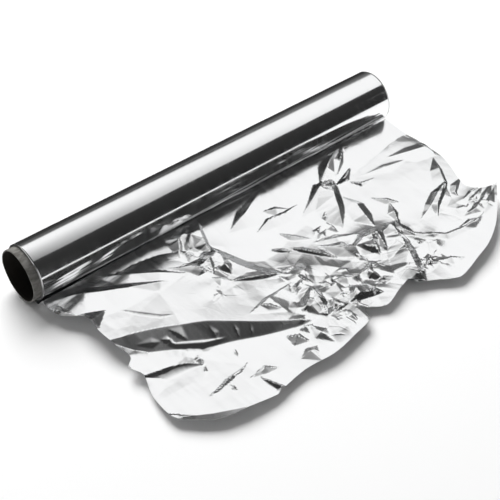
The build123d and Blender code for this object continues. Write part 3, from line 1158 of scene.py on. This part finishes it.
    def dress(self, piece: Object, foil: Material) -> None:
        """Args:
            piece: The sheet.
            foil: The foil material.
        """
        piece.data.materials.append(foil)
        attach(piece, BODY)
        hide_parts("foil")


# Studio

@dataclass(frozen=True)
class StudioCard:
    """A flat card that shows only in reflections. Its tone goes from the near one along its first side
    to the far one across from it."""

    name: str
    corner: Place
    first_side: Place
    second_side: Place
    near_tone: float
    far_tone: float


@dataclass
class Studio:
    """Pale table, soft light from above and behind, cards around it and the camera."""

    floor: float
    floor_half: float = 8.0
    floor_colour: Colour = (0.97, 0.97, 0.97, 1.0)
    floor_roughness: float = 0.9
    sky_for_shade: float = 0.22
    lamp_power: float = 119.0
    lamp_place: Place = (0.6, 1.9, 2.0)
    lamp_target: tuple[float, float] = (0.0, -0.07)
    lamp_size: float = 2.2
    card_height: float = 2.0
    card_front: float = -0.83
    card_back: float = 4.4
    card_side: float = 2.7
    low_card_height: float = 0.62
    low_card_step: float = 0.01
    low_card_opening: tuple[float, float] = (0.1, 0.95)
    table_card_start: float = 0.024
    table_card_lift: float = 0.1 * MM
    near_way: tuple[float, float] = (0.9, 0.436)
    near_span: tuple[float, float] = (-0.4, 1.5)
    far_way: tuple[float, float] = (0.647, 0.763)
    far_span: tuple[float, float] = (4.4, 2.6)
    ceiling_dim: float = 0.03
    ceiling_steps: int = 40
    camera_place: Place = (-0.41384, -0.52737, 0.52060)
    camera_target: Place = (-0.02971, -0.07393, 0.0)
    camera_lens: float = 89.7
    sensor: float = 36.0

    def cards(self) -> tuple[StudioCard, ...]:
        """The cards: one on each side up to the ceiling, two low ones in front of the front card with an
        opening between them, and one that lies on the table behind the roll.

        Returns:
            The cards in order.
        """
        side, front, back, floor = self.card_side, self.card_front, self.card_back, self.floor
        wide, deep = (2 * side, 0, 0), (0, back - front, 0)
        tall, short = (0, 0, self.card_height - floor), (0, 0, self.low_card_height)
        step, start = front + self.low_card_step, self.table_card_start
        opens, closes = self.low_card_opening
        return (
            StudioCard("card_front", (-side, front, floor), wide, tall, 0.02, 0.04),
            StudioCard("card_back", (-side, back, floor), wide, tall, 0.02, 0.14),
            StudioCard("card_right", (side, front, floor), deep, tall, 0.02, 0.18),
            StudioCard("card_left", (-side, front, floor), deep, tall, 0.5, 0.9),
            StudioCard("card_low_left", (-side, step, floor), (side + opens, 0, 0), short, 0.8, 0.5),
            StudioCard("card_low_right", (closes, step, floor), (side - closes, 0, 0), short, 0.8, 0.5),
            StudioCard("card_table", (-side, start, floor + self.table_card_lift), wide,
                       (0, back - start, 0), 0.04, 0.04),
        )

    def show_in_reflections(self, card: Object, tones: Array, glow: Material) -> None:
        """Hide a card from everything but reflections and give each of its points a tone.

        Args:
            card: The card.
            tones: One tone per point.
            glow: The material that shows the tones.
        """
        paint_points(card, "tone", tones)
        card.data.materials.append(glow)
        for rays in ("camera", "diffuse", "transmission", "shadow"):
            setattr(card, f"visible_{rays}", False)

    def build_cards(self) -> None:
        """Make each card from its corner plus shares of its two sides, and the ceiling over them.

        The ceiling is white over a broad stretch behind the roll and dims smoothly towards the camera
        and towards the far side.
        """
        glow = bpy.data.materials.new("card_tone")
        glow.use_nodes = True
        bench = NodeBench(glow.node_tree)
        tone = bench.place("Attribute", attribute_name="tone")
        light = bench.place("Emission", {"Strength": tone.outputs["Fac"]})
        bench.feed(glow.node_tree.nodes["Material Output"], {"Surface": light.outputs["Emission"]})
        share = np.array([[0, 0], [1, 0], [1, 1], [0, 1]], dtype=float)
        for card in self.cards():
            points = np.array(card.corner) + share @ np.array([card.first_side, card.second_side])
            tones = card.near_tone + (card.far_tone - card.near_tone) * share[:, 1]
            self.show_in_reflections(new_piece(card.name, points, [[0, 1, 2, 3]]), tones, glow)
        x, y = np.meshgrid(np.linspace(-self.card_side, self.card_side, self.ceiling_steps),
                           np.linspace(self.card_front, self.card_back, self.ceiling_steps))
        near = np.interp(x * self.near_way[0] + y * self.near_way[1], self.near_span, (0.0, 1.0))
        far = np.interp(-x * self.far_way[0] - y * self.far_way[1], -np.array(self.far_span), (0.0, 1.0))
        points = np.stack([x, y, np.full_like(x, self.card_height)], axis=-1)
        ceiling = new_piece("card_ceiling", points, grid_faces(*x.shape, Wrap.NONE).tolist())
        tones = self.ceiling_dim + (1.0 - self.ceiling_dim) * ease(near) * ease(far)
        self.show_in_reflections(ceiling, tones, glow)

    def build_floor(self) -> None:
        """Make the pale table as one wide face."""
        half = self.floor_half
        points = np.array([[x, y, self.floor] for x, y in ((-half, -half), (half, -half),
                                                           (half, half), (-half, half))])
        material, bench, shader = material_bench("pale_table")
        bench.feed(shader, {"Base Color": self.floor_colour, "Roughness": self.floor_roughness,
                            "Specular IOR Level": 0.0})
        table = new_piece("table", points, [[0, 1, 2, 3]])
        table.data.materials.append(material)

    def build_sky(self) -> None:
        """White all round for the camera and for reflections, and a plainer light level for shading."""
        world = bpy.data.worlds.new("studio")
        bpy.context.scene.world = world
        world.use_nodes = True
        bench = NodeBench(world.node_tree)
        path = bench.place("LightPath").outputs
        seen = path["Is Camera Ray"]
        for rays in ("Is Glossy Ray", "Is Transmission Ray"):
            higher = bench.place("Math", {0: seen, 1: path[rays]}, operation="MAXIMUM")
            seen = higher.outputs["Value"]
        level = bench.place("MapRange", {"Value": seen, "To Min": self.sky_for_shade})
        bench.feed(world.node_tree.nodes["Background"], {"Color": (1.0, 1.0, 1.0, 1.0),
                                                         "Strength": level.outputs["Result"]})

    def hang(self, thing: ID, place: Place, target: Place) -> Object:
        """Put a lamp or a camera at a place and turn it towards a target.

        Args:
            thing: The lamp or camera.
            place: Where it hangs.
            target: What it looks at.

        Returns:
            The object that holds it.
        """
        holder = bpy.data.objects.new(thing.name, thing)
        holder.location = place
        holder.rotation_euler = (Vector(target) - Vector(place)).to_track_quat("-Z", "Y").to_euler()
        bpy.context.scene.collection.objects.link(holder)
        return holder

    def build_lamp(self) -> None:
        """Hang one broad soft lamp above and behind the roll."""
        lamp = bpy.data.lights.new("soft_lamp", "AREA")
        lamp.shape = "DISK"
        lamp.size = self.lamp_size
        lamp.energy = self.lamp_power
        holder = self.hang(lamp, self.lamp_place, (*self.lamp_target, self.floor))
        holder.visible_glossy = False
        holder.visible_camera = False

    def build_camera(self) -> None:
        """Set the camera at the photograph's place and angle."""
        camera = bpy.data.cameras.new("camera")
        camera.lens = self.camera_lens
        camera.sensor_width = self.sensor
        bpy.context.scene.camera = self.hang(camera, self.camera_place, self.camera_target)

    def build(self) -> None:
        """Set up the whole studio."""
        bpy.context.scene.view_settings.view_transform = "Standard"
        self.build_floor()
        self.build_cards()
        self.build_sky()
        self.build_lamp()
        self.build_camera()


def main() -> None:
    """Build the roll and its studio, and report each piece."""
    logging.basicConfig(level=logging.INFO, format="%(name)s: %(message)s")
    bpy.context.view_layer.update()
    core_low, core_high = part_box("cardboard_core")
    foil_low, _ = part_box("foil")
    bore = next(mount for mount in frame["record"]["mounts"] if mount["kind"] == "bore")
    floor = foil_low.z
    grain = grain_group()
    creases = crease_group()

    core = CardboardCore(core_low.x, core_high.x, core_high.z, bore["dims"]["r_mm"] * MM)
    winding = FoilWinding(core_high.x, -floor - TABLE_GAP, core_high.z + WINDING_GAP)
    bright_side = FoilFinish("wound_foil")
    dull_side = FoilFinish("crumpled_foil", clear_roughness=0.12, dull_roughness=0.18)
    for part, material in ((core, BoardFinish().material(grain)),
                           (winding, bright_side.material(grain, creases)),
                           (FoilSheet(floor), dull_side.material(grain, creases))):
        piece = part.build()
        part.dress(piece, material)
        LOG.info("%s: %d faces", piece.name, len(piece.data.polygons))

    Studio(floor).build()


if __name__ == "__main__":
    main()
